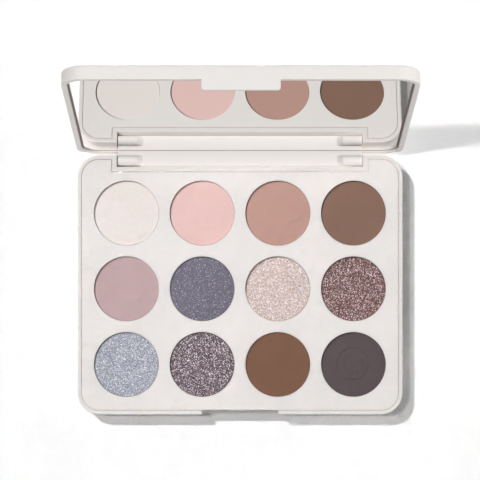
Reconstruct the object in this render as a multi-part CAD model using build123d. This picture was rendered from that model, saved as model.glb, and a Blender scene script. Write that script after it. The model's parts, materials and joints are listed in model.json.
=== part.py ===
"""An open eyeshadow palette: a flat rounded case with twelve filled pans and a mirror lid on a rear hinge.

The origin is the middle of the underside. +Z is up, +Y is the hinge side and +X is the right-hand side of a
person who faces the pans. The lid is modelled closed, and then turned open about the hinge axis to its stop.
"""

import os
from math import sqrt

from build123d import *

# Case, mm
CASE_WIDTH = 132.2
CASE_DEPTH = 105.4
CORNER_R = 8.85
BASE_HEIGHT = 8.6
LID_THICKNESS = 5.6
RIM_WIDTH = 1.7
LID_RIM_WIDTH = 2.0
FLOOR_THICKNESS = 1.4
PARTING_GAP = 0.05  # between the two rims when the lid is shut
FIT_GAP = 0.15  # around the tray, the mirror and their notches
BASE_BOTTOM_ROUND = 1.3
RIM_ROUND = 0.45
BAY_ROUND = 0.2
LID_TOP_ROUND = 1.1
EDGE_ROUND = 0.12  # on the tray's edge, the lips of its wells and the inner edges of both rims

# Pans and powders, mm
COLUMNS = 4
ROWS = 3
PITCH = 30.73
REAR_ROW_Y = 29.1
WELL_R = 13.2
WELL_WALL = 1.1
WELL_FLOOR = 1.0
PAN_R = 13.1
PAN_SHEET = 0.25
PAN_HEIGHT = 3.65
POWDER_RECESS = 0.9  # from the tray's face down to the powder's
POWDER_CAP = 0.2  # the powder stands this far over the pan's edge
GLUE_R = 6.0
GLUE_THICKNESS = 0.1
TRAY_PLATE = 1.6
TRAY_GROOVE = 0.4  # the tray is narrower by the fit gap over this depth, and fills the rim below it
TRAY_CLEARANCE = 0.03
POST_R = 2.0
SOCKET_WALL = 1.4
SOCKET_HEIGHT = 2.2

# Hinge, mm and degrees
OPEN_ANGLE = 102.9
BARREL_R = 2.1
HINGE_DROP = 3.0  # the axis lies this far under the base's rim
BAY_HALF = 50.0
BAY_DEPTH = 4.8
BAY_WALL = 2.0
BAY_FLOOR_Z = 2.9
LEAF_HALF = 49.7
BARREL_INNER_X = 41.9  # the full round barrels reach from the leaf's ends to here
RAMP_END_X = 39.45  # and the leaf is flat inside this
PIN_R = 0.8
PIN_CLEARANCE = 0.05
PIN_INNER_X = 43.0
BORE_INNER_X = 42.9
RELIEF_R = 3.55  # the lid's rear rim is hollowed to this radius so that it swings past the base

# Row of shallow dots on the tray's front strip, mm
DOT_COUNT = 7
DOT_PITCH = 3.6
DOT_R = 0.7
DOT_DEPTH = 0.15
DOT_Y = -48.9

# Thumb tab and catch, mm
NOTCH_HALF = 15.6
NOTCH_HEIGHT = 4.4
TAB_HALF = 14.5
TAB_DROP = 4.0
TAB_THICKNESS = 1.45
TAB_CORNER_R = 1.1
TAB_ROUND = 0.3
THUMB_SCOOP_DEPTH = 0.85
THUMB_SCOOP_FOOT = 1.5
NOTCH_WALL_HALF = 17.0
NOTCH_WALL = 1.2
NOTCH_WALL_TOP_DROP = 1.75
CATCH_HALF = 2.5
CATCH_DEPTH = 0.45
CATCH_HEIGHT = 0.8
CATCH_DROP = 2.2
CATCH_GROOVE_HALF = 3.2
CATCH_GROOVE_DEPTH = 0.35

# Lid insides, mm
LID_PANEL = 1.5
MIRROR_RECESS = 1.05
MIRROR_THICKNESS = 1.2
MIRROR_GLUE = 0.15
MIRROR_GLUE_INSET = 6.0
POCKET_COLUMNS = 6
POCKET_ROWS = 4
POCKET_RIB = 2.0
POCKET_DEPTH = 1.0
POCKET_MARGIN = 4.0

# Underside label, mm
LABEL_WIDTH = 62.0
LABEL_DEPTH = 26.0
LABEL_CORNER_R = 2.0
LABEL_Y = -26.0
LABEL_THICKNESS = 0.12
LABEL_RECESS = 0.25

# Shades by row from the hinge, each from left to right
SHADES = (
    ("ivory", "blush", "tan", "cocoa"),
    ("mauve", "slate", "champagne", "rose_bronze"),
    ("silver_blue", "gunmetal", "chestnut", "aubergine"),
)

REAR_Y = CASE_DEPTH / 2
FRONT_Y = -REAR_Y
HINGE_Y = REAR_Y - BARREL_R
HINGE_Z = BASE_HEIGHT - HINGE_DROP
HINGE_AXIS = Axis((0, HINGE_Y, HINGE_Z), (1, 0, 0))
INNER_WIDTH = CASE_WIDTH - 2 * RIM_WIDTH
INNER_DEPTH = CASE_DEPTH - 2 * RIM_WIDTH
INNER_CORNER_R = CORNER_R - RIM_WIDTH
LID_INNER_WIDTH = CASE_WIDTH - 2 * LID_RIM_WIDTH
LID_INNER_DEPTH = CASE_DEPTH - 2 * LID_RIM_WIDTH
LID_INNER_R = CORNER_R - LID_RIM_WIDTH
BAY_FRONT_Y = REAR_Y - BAY_DEPTH
BAY_BLOCK_HALF = BAY_HALF + BAY_WALL
BAY_BLOCK_FRONT_Y = BAY_FRONT_Y - BAY_WALL
LID_Z = BASE_HEIGHT + PARTING_GAP
LID_TOP_Z = LID_Z + LID_THICKNESS
PAN_TOP_Z = BASE_HEIGHT - POWDER_RECESS - POWDER_CAP
PAN_BOTTOM_Z = PAN_TOP_Z - PAN_HEIGHT
WELL_BOTTOM_Z = PAN_BOTTOM_Z - GLUE_THICKNESS
TRAY_PLATE_Z = BASE_HEIGHT - TRAY_PLATE


def block(x0, x1, y0, y1, z0, z1):
    """A box between two corners."""
    return Pos((x0 + x1) / 2, (y0 + y1) / 2, (z0 + z1) / 2) * Box(x1 - x0, y1 - y0, z1 - z0)


def slab(width, depth, corner_r, z0, z1):
    """A plate with rounded corners, centred on the case, between two heights."""
    return Pos(0, 0, z0) * extrude(RectangleRounded(width, depth, corner_r), z1 - z0)


def disc(radius, x, y, z0, z1):
    """An upright cylinder between two heights."""
    return Pos(x, y, (z0 + z1) / 2) * Cylinder(radius, z1 - z0)


def rod(radius, x0, x1):
    """A cylinder on the hinge axis between two places along it."""
    return Pos((x0 + x1) / 2, HINGE_Y, HINGE_Z) * Rot(0, 90, 0) * Cylinder(radius, abs(x1 - x0))


def pan_places():
    """Each shade with the middle of its well."""
    for row, shades in enumerate(SHADES):
        for column, shade in enumerate(shades):
            x = (column - (COLUMNS - 1) / 2) * PITCH
            yield shade, x, REAR_ROW_Y - row * PITCH


def post_places():
    """The tray's posts stand where four wells meet."""
    for row in range(ROWS - 1):
        for column in range(COLUMNS - 1):
            x = (column - (COLUMNS - 2) / 2) * PITCH
            yield x, REAR_ROW_Y - (row + 0.5) * PITCH


def tray_outline(inset):
    """The space inside the base's rim, drawn in by an inset and stepped round the hinge bay."""
    outline = RectangleRounded(
        INNER_WIDTH - 2 * inset, INNER_DEPTH - 2 * inset, INNER_CORNER_R - inset
    )
    step_half = BAY_BLOCK_HALF + inset
    step_front = BAY_BLOCK_FRONT_Y - inset
    step = Pos(0, (step_front + REAR_Y) / 2) * Rectangle(2 * step_half, REAR_Y - step_front)
    return outline - step


def make_base_shell():
    """The lower shell: floor, rim, hinge bay, thumb notch, catch, and sockets for the tray's posts."""
    shell = slab(CASE_WIDTH, CASE_DEPTH, CORNER_R, 0, BASE_HEIGHT)
    shell = fillet(shell.faces().sort_by(Axis.Z)[0].edges(), BASE_BOTTOM_ROUND)
    shell = fillet(shell.faces().sort_by(Axis.Z)[-1].edges(), RIM_ROUND)
    shell -= Pos(0, 0, FLOOR_THICKNESS) * extrude(tray_outline(0), BASE_HEIGHT)
    rim = shell.faces().sort_by(Axis.Z)[-1]
    shell = fillet(rim.inner_wires()[0].edges(), EDGE_ROUND)
    shell -= block(-BAY_HALF, BAY_HALF, BAY_FRONT_Y, REAR_Y + 1, BAY_FLOOR_Z, BASE_HEIGHT + 1)
    rim = shell.faces().sort_by(Axis.Z)[-1]
    bay_edges = [
        edge
        for edge in rim.edges()
        if abs(edge.center().X) < BAY_HALF + 0.01 and edge.center().Y > BAY_FRONT_Y - 0.01
    ]
    shell = fillet(bay_edges, BAY_ROUND)
    for side in (-1, 1):
        shell -= rod(PIN_R, side * (BAY_HALF - 1), side * (BAY_BLOCK_HALF + 1))
    for x, y in post_places():
        socket_top = FLOOR_THICKNESS + SOCKET_HEIGHT
        ring = disc(POST_R + FIT_GAP + SOCKET_WALL, x, y, FLOOR_THICKNESS, socket_top)
        shell += ring - disc(POST_R + FIT_GAP, x, y, FLOOR_THICKNESS, socket_top)

    back_y = FRONT_Y + RIM_WIDTH
    notch_foot = BASE_HEIGHT - NOTCH_HEIGHT
    shell += block(
        -NOTCH_WALL_HALF,
        NOTCH_WALL_HALF,
        back_y,
        back_y + NOTCH_WALL,
        FLOOR_THICKNESS,
        BASE_HEIGHT - NOTCH_WALL_TOP_DROP,
    )
    shell -= block(-NOTCH_HALF, NOTCH_HALF, FRONT_Y - 1, back_y, notch_foot, BASE_HEIGHT + 1)
    scoop = block(
        -NOTCH_HALF,
        NOTCH_HALF,
        FRONT_Y - 1,
        FRONT_Y + THUMB_SCOOP_DEPTH,
        THUMB_SCOOP_FOOT,
        notch_foot + 1,
    )
    foot = scoop.edges().filter_by(Axis.X).group_by(Axis.Z)[0].sort_by(Axis.Y)[-1]
    shell -= fillet(foot, THUMB_SCOOP_DEPTH - 0.05)
    catch_top = BASE_HEIGHT - CATCH_DROP
    catch = block(
        -CATCH_HALF, CATCH_HALF, back_y - CATCH_DEPTH, back_y, catch_top - CATCH_HEIGHT, catch_top
    )
    shell += chamfer(catch.edges().filter_by(Axis.X).group_by(Axis.Y)[0], CATCH_DEPTH / 2)

    label_y0 = LABEL_Y - LABEL_DEPTH / 2
    recess = Pos(0, label_y0 + LABEL_DEPTH / 2, 0) * extrude(
        RectangleRounded(LABEL_WIDTH + 1, LABEL_DEPTH + 1, LABEL_CORNER_R + 0.5), LABEL_RECESS
    )
    return shell - recess


def make_pan_tray():
    """The tray: a plate flush with the rim, twelve wells under it, and posts down to the floor."""
    tray = Pos(0, 0, TRAY_PLATE_Z) * extrude(tray_outline(FIT_GAP), TRAY_PLATE)
    tray += Pos(0, 0, TRAY_PLATE_Z) * extrude(
        tray_outline(TRAY_CLEARANCE), TRAY_PLATE - TRAY_GROOVE
    )
    for _, x, y in pan_places():
        tray += disc(WELL_R + WELL_WALL, x, y, WELL_BOTTOM_Z - WELL_FLOOR, TRAY_PLATE_Z)
    for x, y in post_places():
        tray += disc(POST_R, x, y, FLOOR_THICKNESS, TRAY_PLATE_Z)
    for _, x, y in pan_places():
        tray -= disc(WELL_R, x, y, WELL_BOTTOM_Z, BASE_HEIGHT)
    tray = fillet(tray.faces().sort_by(Axis.Z)[-1].edges(), EDGE_ROUND)
    for i in range(DOT_COUNT):
        x = (i - (DOT_COUNT - 1) / 2) * DOT_PITCH
        tray -= disc(DOT_R, x, DOT_Y, BASE_HEIGHT - DOT_DEPTH, BASE_HEIGHT)
    return tray


def make_pan(x, y):
    """A pressed tin pan."""
    pan = disc(PAN_R, x, y, PAN_BOTTOM_Z, PAN_TOP_Z)
    return pan - disc(PAN_R - PAN_SHEET, x, y, PAN_BOTTOM_Z + PAN_SHEET, PAN_TOP_Z)


def make_powder(x, y):
    """A pressed cake of powder, which fills its pan and hides the pan's edge."""
    cake = disc(PAN_R - PAN_SHEET, x, y, PAN_BOTTOM_Z + PAN_SHEET, PAN_TOP_Z)
    return cake + disc(PAN_R, x, y, PAN_TOP_Z, PAN_TOP_Z + POWDER_CAP)


def make_pan_glue():
    """One dot of glue under each pan."""
    dots = [disc(GLUE_R, x, y, WELL_BOTTOM_Z, PAN_BOTTOM_Z) for _, x, y in pan_places()]
    return Compound(children=[dot.solid() for dot in dots])


def make_hinge_pin(side):
    """A steel pin, fixed in the wall of the bay and free in the barrel."""
    return rod(PIN_R, side * PIN_INNER_X, side * (BAY_BLOCK_HALF - 0.1))


def make_bottom_label():
    """A blank paper label in a shallow recess of the underside."""
    z1 = LABEL_RECESS
    label = extrude(RectangleRounded(LABEL_WIDTH, LABEL_DEPTH, LABEL_CORNER_R), LABEL_THICKNESS)
    return Pos(0, LABEL_Y, z1 - LABEL_THICKNESS) * label


def leaf_section(x, is_round):
    """The leaf's end seen along the hinge: a full circle, or one cut flat at the leaf's inner face."""
    cut = REAR_Y - LID_RIM_WIDTH - HINGE_Y
    half = sqrt(BARREL_R**2 - cut**2)
    top, bottom = (x, HINGE_Y + cut, HINGE_Z + half), (x, HINGE_Y + cut, HINGE_Z - half)
    back = ThreePointArc(top, (x, HINGE_Y + BARREL_R, HINGE_Z), bottom)
    tip = (x, HINGE_Y - BARREL_R, HINGE_Z)
    front = ThreePointArc(bottom, tip, top) if is_round else Line(bottom, top)
    return make_face([back, front])


def make_leaf():
    """The hinge leaf: the lid's rear wall carried down into the bay, with a round barrel at each end."""
    inner_y = REAR_Y - LID_RIM_WIDTH
    wall = block(-LEAF_HALF, LEAF_HALF, inner_y, REAR_Y, HINGE_Z, LID_Z + 1)
    flat = rod(BARREL_R, -RAMP_END_X, RAMP_END_X)
    flat &= block(-RAMP_END_X, RAMP_END_X, inner_y, REAR_Y, HINGE_Z - BARREL_R, LID_Z)
    leaf = wall + flat
    for side in (-1, 1):
        leaf += rod(BARREL_R, side * BARREL_INNER_X, side * LEAF_HALF)
        leaf += loft(
            [leaf_section(side * BARREL_INNER_X, True), leaf_section(side * RAMP_END_X, False)],
            ruled=True,
        )
    for side in (-1, 1):
        leaf -= rod(PIN_R + PIN_CLEARANCE, side * BORE_INNER_X, side * (LEAF_HALF + 1))
    return leaf


def make_tab():
    """The thumb tab on the lid's front wall, with a groove that clears the catch."""
    foot = LID_Z - TAB_DROP
    tab = block(-TAB_HALF, TAB_HALF, FRONT_Y, FRONT_Y + TAB_THICKNESS, foot, LID_Z + 1)
    corners = tab.edges().filter_by(Axis.Y).group_by(Axis.Z)[0]
    tab = fillet(corners, TAB_CORNER_R)
    sides = tab.faces().sort_by(Axis.Y)
    tab = fillet(sides[0].edges() + sides[-1].edges(), TAB_ROUND)
    inner_y = FRONT_Y + TAB_THICKNESS
    return tab - block(
        -CATCH_GROOVE_HALF,
        CATCH_GROOVE_HALF,
        inner_y - CATCH_GROOVE_DEPTH,
        inner_y + 1,
        foot - 1,
        BASE_HEIGHT - CATCH_DROP + CATCH_HEIGHT,
    )


def make_lid_shell():
    """The upper shell, closed: panel, rim, hinge leaf and thumb tab."""
    shell = slab(CASE_WIDTH, CASE_DEPTH, CORNER_R, LID_Z, LID_TOP_Z)
    shell = fillet(shell.faces().sort_by(Axis.Z)[-1].edges(), LID_TOP_ROUND)
    shell = fillet(shell.faces().sort_by(Axis.Z)[0].edges(), EDGE_ROUND)
    shell -= slab(LID_INNER_WIDTH, LID_INNER_DEPTH, LID_INNER_R, LID_Z - 1, LID_TOP_Z - LID_PANEL)
    shell = fillet(shell.faces().sort_by(Axis.Z)[0].inner_wires()[0].edges(), EDGE_ROUND)
    shell -= rod(RELIEF_R, -CASE_WIDTH, CASE_WIDTH)
    return shell + make_leaf() + make_tab()


def lid_plate(inset, z0, z1):
    """A plate that follows the inside of the lid's rim."""
    return slab(LID_INNER_WIDTH - 2 * inset, LID_INNER_DEPTH - 2 * inset, LID_INNER_R - inset, z0, z1)


def make_mirror():
    """The mirror's glass, a little under the rim."""
    z0 = LID_Z + MIRROR_RECESS
    return lid_plate(FIT_GAP, z0, z0 + MIRROR_THICKNESS)


def make_mirror_glue():
    """The sheet of adhesive behind the glass."""
    z0 = LID_Z + MIRROR_RECESS + MIRROR_THICKNESS
    return lid_plate(MIRROR_GLUE_INSET, z0, z0 + MIRROR_GLUE)


def make_mirror_backing():
    """The ribbed plate between the lid's panel and the mirror."""
    z0 = LID_Z + MIRROR_RECESS + MIRROR_THICKNESS + MIRROR_GLUE
    z1 = LID_TOP_Z - LID_PANEL
    backing = lid_plate(FIT_GAP, z0, z1)
    pocket_width = (LID_INNER_WIDTH - 2 * POCKET_MARGIN + POCKET_RIB) / POCKET_COLUMNS - POCKET_RIB
    pocket_depth = (LID_INNER_DEPTH - 2 * POCKET_MARGIN + POCKET_RIB) / POCKET_ROWS - POCKET_RIB
    pockets = GridLocations(
        pocket_width + POCKET_RIB, pocket_depth + POCKET_RIB, POCKET_COLUMNS, POCKET_ROWS
    )
    for place in pockets:
        pocket = place * RectangleRounded(pocket_width, pocket_depth, POCKET_RIB)
        backing -= Pos(0, 0, z1 - POCKET_DEPTH) * extrude(pocket, POCKET_DEPTH)
    return backing


def opened(part):
    """A piece of the lid, turned from shut to its stop."""
    return part.rotate(HINGE_AXIS, -OPEN_ANGLE)


def make_parts():
    """Every node of the palette, by name."""
    parts = {
        "base_shell": make_base_shell(),
        "pan_tray": make_pan_tray(),
        "pan_glue": make_pan_glue(),
        "hinge_pin_left": make_hinge_pin(-1),
        "hinge_pin_right": make_hinge_pin(1),
        "bottom_label": make_bottom_label(),
        "lid_shell": opened(make_lid_shell()),
        "mirror_backing": opened(make_mirror_backing()),
        "mirror_glue": opened(make_mirror_glue()),
        "mirror": opened(make_mirror()),
    }
    for shade, x, y in pan_places():
        parts[f"pan_{shade}"] = make_pan(x, y)
        parts[f"powder_{shade}"] = make_powder(x, y)
    return parts


os.makedirs("parts", exist_ok=True)
for name, part in make_parts().items():
    export_step(part, f"parts/{name}.step")
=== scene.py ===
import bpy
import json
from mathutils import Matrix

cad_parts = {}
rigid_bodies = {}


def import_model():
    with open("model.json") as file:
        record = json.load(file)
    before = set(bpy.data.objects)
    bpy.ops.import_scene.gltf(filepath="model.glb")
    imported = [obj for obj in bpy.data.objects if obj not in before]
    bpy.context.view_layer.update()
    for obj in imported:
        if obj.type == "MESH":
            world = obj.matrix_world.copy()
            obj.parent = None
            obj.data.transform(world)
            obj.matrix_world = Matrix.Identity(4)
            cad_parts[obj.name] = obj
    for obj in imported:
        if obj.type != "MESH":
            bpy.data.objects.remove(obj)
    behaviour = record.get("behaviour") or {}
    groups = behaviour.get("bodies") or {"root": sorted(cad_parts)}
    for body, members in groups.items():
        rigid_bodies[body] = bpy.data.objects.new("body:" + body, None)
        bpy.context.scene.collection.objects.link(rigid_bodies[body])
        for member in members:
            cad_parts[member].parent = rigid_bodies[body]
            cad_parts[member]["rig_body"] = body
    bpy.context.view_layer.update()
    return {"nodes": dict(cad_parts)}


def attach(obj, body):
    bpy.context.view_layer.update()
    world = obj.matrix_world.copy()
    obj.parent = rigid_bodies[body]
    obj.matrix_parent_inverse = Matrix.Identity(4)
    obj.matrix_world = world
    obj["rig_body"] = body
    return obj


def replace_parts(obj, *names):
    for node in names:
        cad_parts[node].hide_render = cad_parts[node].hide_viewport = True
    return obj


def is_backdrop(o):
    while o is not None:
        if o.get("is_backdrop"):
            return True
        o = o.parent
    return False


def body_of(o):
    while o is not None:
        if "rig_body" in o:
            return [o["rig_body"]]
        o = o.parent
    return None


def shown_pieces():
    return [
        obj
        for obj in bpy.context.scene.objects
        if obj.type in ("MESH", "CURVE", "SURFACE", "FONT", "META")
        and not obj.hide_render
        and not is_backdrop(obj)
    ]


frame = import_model()

# Looks for the open eyeshadow palette: satin plastic, a silvered mirror, steel pins, twelve pressed powders.
# Lengths are in millimetres, and MM turns them into metres. Only the studio's own sizes are in metres.

import json
import math
import random

import bpy
from mathutils import Matrix, Vector, noise

MM = 0.001

# The hinge axis, and how far the lid stands open at rest, in degrees
HINGE_Y = 50.6
HINGE_Z = 5.6
OPEN_ANGLE = 102.9


def linear(red, green, blue):
    """An sRGB colour of 0 to 255 as linear RGBA."""

    def channel(c):
        c /= 255
        return c / 12.92 if c <= 0.04045 else ((c + 0.055) / 1.055) ** 2.4

    return (channel(red), channel(green), channel(blue), 1.0)


def scaled(colour, factor):
    """A linear colour made lighter or darker."""
    return tuple(min(c * factor, 1.0) for c in colour[:3]) + (1.0,)


# ---------------------------------------------------------------- shader building


class Nodes:
    """A material under construction: its Principled shader and short calls that add nodes to it."""

    def __init__(self, name):
        self.material = bpy.data.materials.new(name)
        self.material.use_nodes = True
        self.tree = self.material.node_tree
        self.shader = self.tree.nodes["Principled BSDF"]
        self.coords = self.tree.nodes.new("ShaderNodeTexCoord").outputs["Object"]

    def add(self, kind, **settings):
        node = self.tree.nodes.new(kind)
        for key, value in settings.items():
            setattr(node, key, value)
        return node

    def link(self, output, target):
        self.tree.links.new(output, target)

    def drive(self, socket, output):
        """Feeds a socket of the Principled shader."""
        self.link(output, self.shader.inputs[socket])

    def set(self, **sockets):
        for key, value in sockets.items():
            self.shader.inputs[key.replace("_", " ")].default_value = value

    def noise(self, scale, detail, roughness=0.5):
        """Fractal noise of about 0 to 1, with a feature every 1/scale metres."""
        node = self.add("ShaderNodeTexNoise")
        node.inputs["Scale"].default_value = scale
        node.inputs["Detail"].default_value = detail
        node.inputs["Roughness"].default_value = roughness
        self.link(self.coords, node.inputs["Vector"])
        return node.outputs["Fac"]

    def cells(self, scale):
        """A random colour for each cell of about 1/scale metres."""
        node = self.add("ShaderNodeTexVoronoi")
        node.inputs["Scale"].default_value = scale
        self.link(self.coords, node.inputs["Vector"])
        return node.outputs["Color"]

    def spread(self, value, low, high, from_low=0.0, from_high=1.0):
        """Maps one range onto another, and stops at its ends."""
        node = self.add("ShaderNodeMapRange")
        for socket, number in (
            ("From Min", from_low),
            ("From Max", from_high),
            ("To Min", low),
            ("To Max", high),
        ):
            node.inputs[socket].default_value = number
        self.link(value, node.inputs["Value"])
        return node.outputs["Result"]

    def mix(self, factor, one, two):
        """Blends two colours. Each is a constant or an output."""
        node = self.add("ShaderNodeMix", data_type="RGBA")
        self.link(factor, node.inputs["Factor"])
        colours = [socket for socket in node.inputs if socket.type == "RGBA"]
        for socket, colour in zip(colours, (one, two)):
            if isinstance(colour, tuple):
                socket.default_value = colour
            else:
                self.link(colour, socket)
        return next(socket for socket in node.outputs if socket.type == "RGBA")

    def steps(self, factor, colours):
        """Hard steps through a list of colours as factor goes from 0 to 1."""
        node = self.add("ShaderNodeValToRGB")
        node.color_ramp.interpolation = "CONSTANT"
        while len(node.color_ramp.elements) < len(colours):
            node.color_ramp.elements.new(0.5)
        for i, colour in enumerate(colours):
            node.color_ramp.elements[i].position = i / len(colours)
            node.color_ramp.elements[i].color = colour
        self.link(factor, node.inputs["Fac"])
        return node.outputs["Color"]

    def bump(self, height, depth, strength):
        """Raises the surface with height, by up to depth in millimetres."""
        node = self.add("ShaderNodeBump")
        node.inputs["Distance"].default_value = depth * MM
        node.inputs["Strength"].default_value = strength
        self.link(height, node.inputs["Height"])
        self.drive("Normal", node.outputs["Normal"])


# Painted crease shade in plastic: how far it reaches, and what it leaves of red, green and blue
PAINTED_CREASE_SHADE_REACH = 0.9
PAINTED_CREASE_SHADE_TINT = (0.85, 0.544, 0.3825)


def plastic(name, colour, roughness):
    """Satin moulded plastic: faint mottling, spark-eroded grain, and warmer, darker shade painted into
    creases.
    """
    m = Nodes(name)
    mottle = m.noise(70, 3)
    sheen = m.noise(1500, 2)
    grain = m.noise(6500, 2)
    body = m.mix(mottle, scaled(colour, 0.996), scaled(colour, 1.004))
    # Painted shade: ambient occlusion darkens and warms the colour in creases and gaps
    crease_shade_ao = m.add("ShaderNodeAmbientOcclusion", samples=8)
    crease_shade_ao.inputs["Distance"].default_value = PAINTED_CREASE_SHADE_REACH * MM
    painted_shade_openness = m.spread(crease_shade_ao.outputs["AO"], 0.0, 1.0, from_low=0.1, from_high=0.55)
    painted_crease_shade = tuple(c * tint for c, tint in zip(colour, PAINTED_CREASE_SHADE_TINT)) + (1.0,)
    m.drive("Base Color", m.mix(painted_shade_openness, painted_crease_shade, body))
    m.drive("Roughness", m.spread(sheen, roughness - 0.05, roughness + 0.05))
    m.bump(grain, 0.012, 0.3)
    m.set(IOR=1.46)
    return m.material


def metal(name, colour, roughness, grain):
    """Bare metal with an uneven polish."""
    m = Nodes(name)
    worn = m.noise(grain, 3)
    m.drive("Roughness", m.spread(worn, roughness * 0.75, roughness * 1.25))
    m.drive("Base Color", m.mix(worn, scaled(colour, 0.96), scaled(colour, 1.02)))
    m.set(Metallic=1.0)
    return m.material


def silvering():
    """The mirror's face: almost perfect, with the slightest unevenness."""
    m = Nodes("mirror_silver")
    haze = m.noise(45, 2)
    m.drive("Roughness", m.spread(haze, 0.008, 0.02))
    m.drive("Base Color", m.mix(haze, linear(255, 254, 253), linear(255, 255, 254)))
    m.set(Metallic=1.0)
    return m.material


def ground_glass():
    """The mirror's ground edge."""
    m = Nodes("mirror_ground_edge")
    grain = m.noise(5200, 3)
    m.drive("Base Color", m.mix(grain, linear(112, 88, 76), linear(140, 112, 98)))
    m.drive("Roughness", m.spread(grain, 0.3, 0.55))
    m.bump(grain, 0.02, 0.5)
    return m.material


def paint(name, colour, grain, depth):
    """A matt coat with a fine tooth: the mirror's back, adhesive, glue and paper."""
    m = Nodes(name)
    tooth = m.noise(grain, 4, 0.6)
    m.drive("Base Color", m.mix(tooth, scaled(colour, 0.93), scaled(colour, 1.05)))
    m.drive("Roughness", m.spread(tooth, 0.6, 0.85))
    m.bump(tooth, depth, 0.5)
    return m.material


def matte_powder(name, colour):
    """Pressed matt powder: a soft mottle, a fine grain and no shine."""
    m = Nodes(name)
    grain = m.noise(3600, 3, 0.65)
    soft = m.mix(m.noise(190, 3), scaled(colour, 0.99), scaled(colour, 1.01))
    speck = m.spread(grain, 0.0, 1.0, from_low=0.3, from_high=0.7)
    m.drive("Base Color", m.mix(speck, scaled(colour, 0.96), soft))
    m.bump(grain, 0.03, 0.45)
    m.set(Roughness=0.88)
    return m.material


def binder(name, colour, low, high):
    """The dense powder that glitter lies in: fine cells of lighter and darker grains."""
    m = Nodes(name)
    split = m.add("ShaderNodeSeparateColor")
    m.link(m.cells(5200), split.inputs["Color"])
    m.drive("Base Color", m.mix(split.outputs["Red"], scaled(colour, low), scaled(colour, high)))
    m.bump(m.noise(4200, 3), 0.05, 0.7)
    m.set(Roughness=0.55, Metallic=0.2)
    return m.material


FOIL_METALLIC = 0.3
FOIL_ROUGHNESS = 0.45


def foil(name, colours):
    """Glitter foil. Every flake has one of the colours: tints of its own, with painted glints in the lightest
    and painted shade in the darkest.
    """
    m = Nodes(name)
    island = m.add("ShaderNodeNewGeometry").outputs["Random Per Island"]
    # Painted glints and shade: flakes take colours from near black to near white in place of catching the
    # light
    m.drive("Base Color", m.steps(island, colours))
    m.drive("Roughness", m.spread(m.noise(9000, 1), FOIL_ROUGHNESS - 0.06, FOIL_ROUGHNESS + 0.06))
    m.set(Metallic=FOIL_METALLIC)
    return m.material


# ---------------------------------------------------------------- pieces


def build(name, points, faces, materials, body, smooth=(), paints=None):
    """A mesh piece that rides on a body. smooth lists the smooth faces, and paints gives faces a material."""
    mesh = bpy.data.meshes.new(name)
    mesh.from_pydata([Vector(p) * MM for p in points], [], faces)
    for material in materials:
        mesh.materials.append(material)
    for i in smooth:
        mesh.polygons[i].use_smooth = True
    for i, index in (paints or {}).items():
        mesh.polygons[i].material_index = index
    mesh.update()
    piece = bpy.data.objects.new(name, mesh)
    bpy.context.collection.objects.link(piece)
    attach(piece, body)
    return piece


# The pans' grid, and the powder cake in each: a face with a rounded shoulder, and a skirt down into the pan
PITCH = 30.73
REAR_ROW_Y = 29.1
CAKE_R = 13.1
CAKE_TOP = 7.7
SHOULDER = 0.5
SHOULDER_DROP = 0.2
SHOULDER_POWER = 2.2
SKIRT_R = 12.85
SKIRT_TOP = CAKE_TOP - SHOULDER_DROP - 0.02
SKIRT_FOOT = 4.1
CAKE_GRID = 150

# A face's unevenness, in waves to a millimetre and as a depth, and the depth of a motif pressed into it
UNEVEN_WAVES = 2.2
MATTE_UNEVENNESS = 0.012
GLITTER_UNEVENNESS = 0.02
RELIEF_DEPTH = 0.17

SHADES = (
    ("ivory", "blush", "tan", "cocoa"),
    ("mauve", "slate", "champagne", "rose_bronze"),
    ("silver_blue", "gunmetal", "chestnut", "aubergine"),
)


def pan_centre(shade):
    """The middle of a shade's pan."""
    for row, names in enumerate(SHADES):
        if shade in names:
            return (names.index(shade) - 1.5) * PITCH, REAR_ROW_Y - row * PITCH


def ring_motif(x, y):
    """A plain pressed-in motif, 0 to 1: a ring with the outline of an eight-lobed flower in it."""
    ring_r, ring_half = 6.4, 0.35
    heart_r, petal, outline_half = 1.6, 2.6, 0.3
    r = math.hypot(x, y)
    swell = abs(math.sin(4 * math.atan2(y, x)))
    ring = max(0.0, 1 - abs(r - ring_r) / ring_half)
    flower = max(0.0, 1 - abs(r - heart_r - petal * swell) / outline_half)
    return min(1.0, 2 * max(ring, flower))


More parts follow.
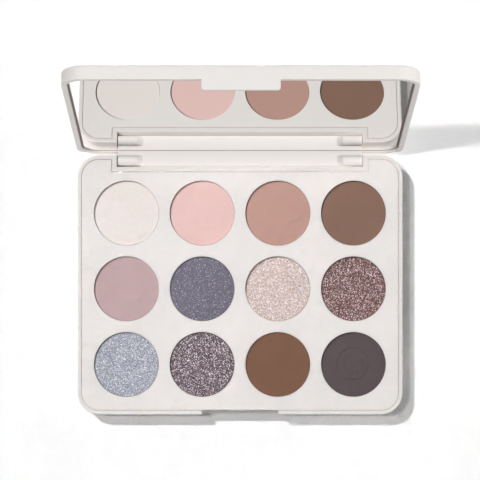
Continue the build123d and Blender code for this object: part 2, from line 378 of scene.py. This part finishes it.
def make_cake(shade, material, unevenness, relief=None):
    """A pressed cake: a gently uneven face, a rounded shoulder and a skirt down into the pan."""
    cx, cy = pan_centre(shade)
    n = CAKE_GRID
    points, faces = [], []

    # The face is a square grid that is bent into a disc
    for j in range(n + 1):
        for i in range(n + 1):
            u, v = 2 * i / n - 1, 2 * j / n - 1
            x = CAKE_R * u * math.sqrt(1 - v * v / 2)
            y = CAKE_R * v * math.sqrt(1 - u * u / 2)
            edge = max(0.0, math.hypot(x, y) - (CAKE_R - SHOULDER)) / SHOULDER
            z = CAKE_TOP - unevenness
            z -= SHOULDER_DROP * (1 - math.sqrt(max(0.0, 1 - edge**SHOULDER_POWER)))
            z += unevenness * noise.noise(Vector((cx + x, cy + y, 0)) * UNEVEN_WAVES)
            if relief and edge == 0:
                z -= RELIEF_DEPTH * relief(x, y)
            points.append((cx + x, cy + y, z))
    for j in range(n):
        for i in range(n):
            a = j * (n + 1) + i
            faces.append((a, a + 1, a + n + 2, a + n + 1))

    # Loops of points from the face's border down the skirt, and a flat foot
    border = (
        list(range(n))
        + [j * (n + 1) + n for j in range(n)]
        + [n * (n + 1) + n - i for i in range(n)]
        + [(n - j) * (n + 1) for j in range(n)]
    )
    loops = [border]
    for radius, z in ((CAKE_R, SKIRT_TOP), (SKIRT_R, SKIRT_TOP), (SKIRT_R, SKIRT_FOOT)):
        start = len(points)
        for k in border:
            x, y = points[k][0] - cx, points[k][1] - cy
            scale = radius / math.hypot(x, y)
            points.append((cx + x * scale, cy + y * scale, z))
        loops.append(list(range(start, len(points))))
    for upper, lower in zip(loops, loops[1:]):
        for k in range(len(border)):
            m = (k + 1) % len(border)
            faces.append((upper[m], upper[k], lower[k], lower[m]))
    faces.append(tuple(reversed(loops[-1])))

    cake = build(
        "cake_" + shade, points, faces, [material], "base", smooth=range(n * n)
    )
    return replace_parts(cake, "powder_" + shade)


# Glitter flakes: their least distance from the cake's edge, their steepest lean in degrees, how deep the
# lowest of them lie, and how deep all of them are rooted
FLAKE_MARGIN = 0.35
FLAKE_STEEPEST = 40
FLAKE_SINK = 0.05
FLAKE_ROOT = 0.19


def make_glitter(shade, material, count, size, tilt, seed):
    """Hexagonal flakes, tipped at random and rooted in a cake."""
    rng = random.Random(seed)
    cx, cy = pan_centre(shade)
    points, faces = [], []
    for _ in range(count):
        r = (CAKE_R - FLAKE_MARGIN) * math.sqrt(rng.random())
        angle = rng.uniform(0, 2 * math.pi)
        x, y = cx + r * math.cos(angle), cy + r * math.sin(angle)
        radius = rng.uniform(*size)
        lean = math.radians(min(abs(rng.gauss(0, tilt)), FLAKE_STEEPEST))
        turn = Matrix.Rotation(rng.uniform(0, 2 * math.pi), 3, "Z") @ Matrix.Rotation(lean, 3, "X")
        spin = rng.uniform(0, math.pi / 3)
        top = CAKE_TOP - rng.uniform(0.0, FLAKE_SINK)
        start = len(points)
        for k in range(6):
            a = spin + k * math.pi / 3
            corner = turn @ Vector((radius * math.cos(a), radius * math.sin(a), 0))
            points.append((x + corner.x, y + corner.y, top + corner.z))
        for k in range(6):
            points.append((points[start + k][0], points[start + k][1], CAKE_TOP - FLAKE_ROOT))
        faces.append(tuple(range(start, start + 6)))
        for k in range(6):
            m = (k + 1) % 6
            faces.append((start + m, start + k, start + k + 6, start + m + 6))
    return build("glitter_" + shade, points, faces, [material], "base")


def make_mirror(face, edge, back):
    """The mirror's glass with its ground border, built shut and turned open about the hinge."""
    width, depth, corner_r, arc = 127.9, 101.1, 6.7, 20
    front, behind = 9.7, 10.9
    border, border_drop, back_bevel = 0.8, 0.04, 0.3
    opening = Matrix.Rotation(math.radians(-OPEN_ANGLE), 3, "X")

    def loop(inset, z):
        """The outline at a height of the shut lid, turned open."""
        points = []
        for quarter, (sx, sy) in enumerate(((1, 1), (-1, 1), (-1, -1), (1, -1))):
            for k in range(arc + 1):
                a = math.radians(90 * (quarter + k / arc))
                x = sx * (width / 2 - corner_r) + (corner_r - inset) * math.cos(a)
                y = sy * (depth / 2 - corner_r) + (corner_r - inset) * math.sin(a)
                turned = opening @ Vector((x, y - HINGE_Y, z - HINGE_Z))
                points.append((turned.x, turned.y + HINGE_Y, turned.z + HINGE_Z))
        return points

    rings = [
        loop(border, front),
        loop(0, front + border_drop),
        loop(0, behind - back_bevel),
        loop(back_bevel, behind),
    ]
    size = len(rings[0])
    points = [p for ring in rings for p in ring]

    # Faces 0 and 1 are the mirror's face and back, and the rest join the rings. paints gives their materials
    faces = [tuple(reversed(range(size))), tuple(range(3 * size, 4 * size))]
    paints = {1: 2}
    for level in range(3):
        near, far = level * size, (level + 1) * size
        for k in range(size):
            m = (k + 1) % size
            paints[len(faces)] = 1
            faces.append((near + k, near + m, far + m, far + k))
    piece = build("mirror_plate", points, faces, [face, edge, back], "lid", paints=paints)
    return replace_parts(piece, "mirror")


def clothe(node, material):
    """Gives a CAD node its finish."""
    data = frame["nodes"][node].data
    data.materials.clear()
    data.materials.append(material)


# ---------------------------------------------------------------- finishes

OFF_WHITE = linear(225, 221, 218)
shell_plastic = plastic("shell_plastic", OFF_WHITE, 0.42)
tray_plastic = plastic("tray_plastic", scaled(OFF_WHITE, 1.02), 0.58)
backing_plastic = plastic("backing_plastic", scaled(OFF_WHITE, 0.8), 0.5)
steel = metal("hinge_steel", linear(190, 190, 192), 0.3, 900)

# The pans aren't in this list, and keep the plain metal that the frame gives them
for node in ("base_shell", "lid_shell"):
    clothe(node, shell_plastic)
clothe("pan_tray", tray_plastic)
clothe("mirror_backing", backing_plastic)
clothe("mirror_glue", paint("mirror_adhesive", linear(206, 204, 196), 1800, 0.02))
clothe("pan_glue", paint("pan_glue", linear(214, 205, 176), 1200, 0.04))
clothe("bottom_label", paint("label_paper", linear(238, 237, 233), 2600, 0.02))
for node in ("hinge_pin_left", "hinge_pin_right"):
    clothe(node, steel)

mirror_back = paint("mirror_back_paint", linear(96, 98, 100), 1500, 0.02)
mirror = make_mirror(silvering(), ground_glass(), mirror_back)

MATTE = {
    "ivory": (232, 224, 219),
    "blush": (228, 193, 188),
    "tan": (184, 146, 134),
    "cocoa": (130, 100, 84),
    "mauve": (187, 162, 162),
    "chestnut": (120, 84, 64),
    "aubergine": (83, 71, 73),
}
for shade, rgb in MATTE.items():
    material = matte_powder("powder_" + shade, linear(*rgb))
    make_cake(shade, material, MATTE_UNEVENNESS, ring_motif if shade == "aubergine" else None)

# Each glitter: its binder's colour and range, its flakes' colours (own tints, with painted glints and painted
# shade at the light and dark ends), and their number, radii and lean in degrees
GLITTER = {
    "slate": (
        (102, 98, 112), 0.8, 1.2,
        ((128, 124, 140), (162, 159, 175), (216, 214, 230)),
        2600, (0.1, 0.16), 9,
    ),
    "champagne": (
        (196, 178, 168), 0.8, 1.12,
        ((156, 138, 124), (202, 186, 170), (230, 210, 213), (250, 234, 247), (255, 252, 255)),
        5600, (0.16, 0.24), 9,
    ),
    "rose_bronze": (
        (108, 78, 74), 0.6, 1.2,
        ((66, 38, 38), (126, 92, 88), (172, 138, 136), (224, 192, 192), (255, 238, 240)),
        5600, (0.16, 0.23), 11,
    ),
    "silver_blue": (
        (152, 156, 169), 0.75, 1.15,
        ((98, 102, 122), (164, 168, 184), (206, 208, 217), (234, 235, 240), (255, 255, 255)),
        5600, (0.15, 0.22), 10,
    ),
    "gunmetal": (
        (92, 80, 86), 0.6, 1.25,
        ((44, 32, 40), (110, 94, 102), (164, 148, 156), (218, 202, 209), (253, 245, 250)),
        5600, (0.16, 0.23), 11,
    ),
}
for seed, (shade, recipe) in enumerate(GLITTER.items(), start=100):
    base, low, high, flake_colours_with_glints, count, size, tilt = recipe
    make_cake(shade, binder("powder_" + shade, linear(*base), low, high), GLITTER_UNEVENNESS)
    flakes = foil("foil_" + shade, [linear(*rgb) for rgb in flake_colours_with_glints])
    make_glitter(shade, flakes, count, size, tilt, seed)

# ---------------------------------------------------------------- camera, studio and light

# The camera looks straight down from high over the pans
camera_data = bpy.data.cameras.new("camera")
camera_data.lens = 174.0
camera_data.shift_x = 0.0156
camera_data.shift_y = 0.0065
camera = bpy.data.objects.new("camera", camera_data)
camera.location = (-3.05 * MM, 16.93 * MM, 950.6 * MM)
bpy.context.collection.objects.link(camera)
bpy.context.scene.camera = camera


# The floor lies this far under the object, so that the two don't share a plane
FLOOR_GAP = 0.02


def make_studio():
    """A round pale floor that curves up into a low wall, in metres."""
    radius, cove, wall = 4.0, 0.7, 1.4
    sides, arc = 96, 12
    profile = []
    for k in range(arc + 1):
        a = math.radians(90 * k / arc)
        profile.append((radius - cove + cove * math.sin(a), cove - cove * math.cos(a)))
    profile.append((radius, wall))

    points = [(0, 0, 0)]
    for r, z in profile:
        for k in range(sides):
            a = 2 * math.pi * k / sides
            points.append((r * math.cos(a), r * math.sin(a), z))
    faces = [(0, 1 + k, 1 + (k + 1) % sides) for k in range(sides)]
    for level in range(len(profile) - 1):
        near, far = 1 + level * sides, 1 + (level + 1) * sides
        for k in range(sides):
            m = (k + 1) % sides
            faces.append((near + k, far + k, far + m, near + m))

    mesh = bpy.data.meshes.new("studio")
    mesh.from_pydata(points, [], faces)
    mesh.polygons.foreach_set("use_smooth", [True] * len(faces))
    pale = Nodes("studio_paint")
    pale.set(Roughness=0.9, Base_Color=(0.935, 0.935, 0.935, 1))
    mesh.materials.append(pale.material)
    studio = bpy.data.objects.new("studio", mesh)
    studio.location.z = -FLOOR_GAP * MM
    bpy.context.collection.objects.link(studio)
    studio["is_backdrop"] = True
    return studio


studio = make_studio()


def sun(name, to_light, strength, angle, blockers=None, receivers=None):
    """A sun, with its angle in degrees. Blockers and receivers limit what shades it and what it lights."""
    data = bpy.data.lights.new(name, "SUN")
    data.energy = strength
    data.angle = math.radians(angle)
    lamp = bpy.data.objects.new(name, data)
    lamp.rotation_mode = "QUATERNION"
    lamp.rotation_quaternion = Vector(to_light).to_track_quat("Z", "Y")
    bpy.context.collection.objects.link(lamp)
    if blockers:
        lamp.light_linking.blocker_collection = blockers
    if receivers:
        lamp.light_linking.receiver_collection = receivers


def gather(name, objects):
    """A collection for a light to be linked to."""
    group = bpy.data.collections.new(name)
    for thing in objects:
        group.objects.link(thing)
    return group


lid_pieces = [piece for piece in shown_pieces() if body_of(piece) == ["lid"]]
base_pieces = [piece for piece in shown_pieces() if body_of(piece) == ["base"]]
lid_group = gather("lid_group", lid_pieces)
base_group = gather("base_group", base_pieces)
lower_group = gather("lower_group", base_pieces + [studio])
matt_lid_group = gather("matt_lid_group", [piece for piece in lid_pieces if piece != mirror])

# The key light is in two halves. Only the lid shades the second, so the key's shadow of the base is weaker
TO_KEY = (-0.42, 0.162, 1.0)
sun("key", TO_KEY, 0.76, 2.2)
sun("key_past_base", TO_KEY, 0.757, 2.2, blockers=lid_group)

# Light from behind on the base and the floor, as if the open lid didn't stand in its way
sun("rear", (-0.65, 0.6, 1.0), 2.42, 2.5, blockers=base_group, receivers=lower_group)

# A broad light from the right on the lid's plastic, which leaves out the mirror
sun("lid_fill", (0.55, -0.06, 1.0), 2.12, 60.0, blockers=lid_group, receivers=matt_lid_group)

world = bpy.data.worlds.new("studio")
world.use_nodes = True
bpy.context.scene.world = world
background = world.node_tree.nodes["Background"]
background.inputs["Color"].default_value = (1, 1, 1, 1)
background.inputs["Strength"].default_value = 0.04
bpy.context.scene.view_settings.view_transform = "Standard"
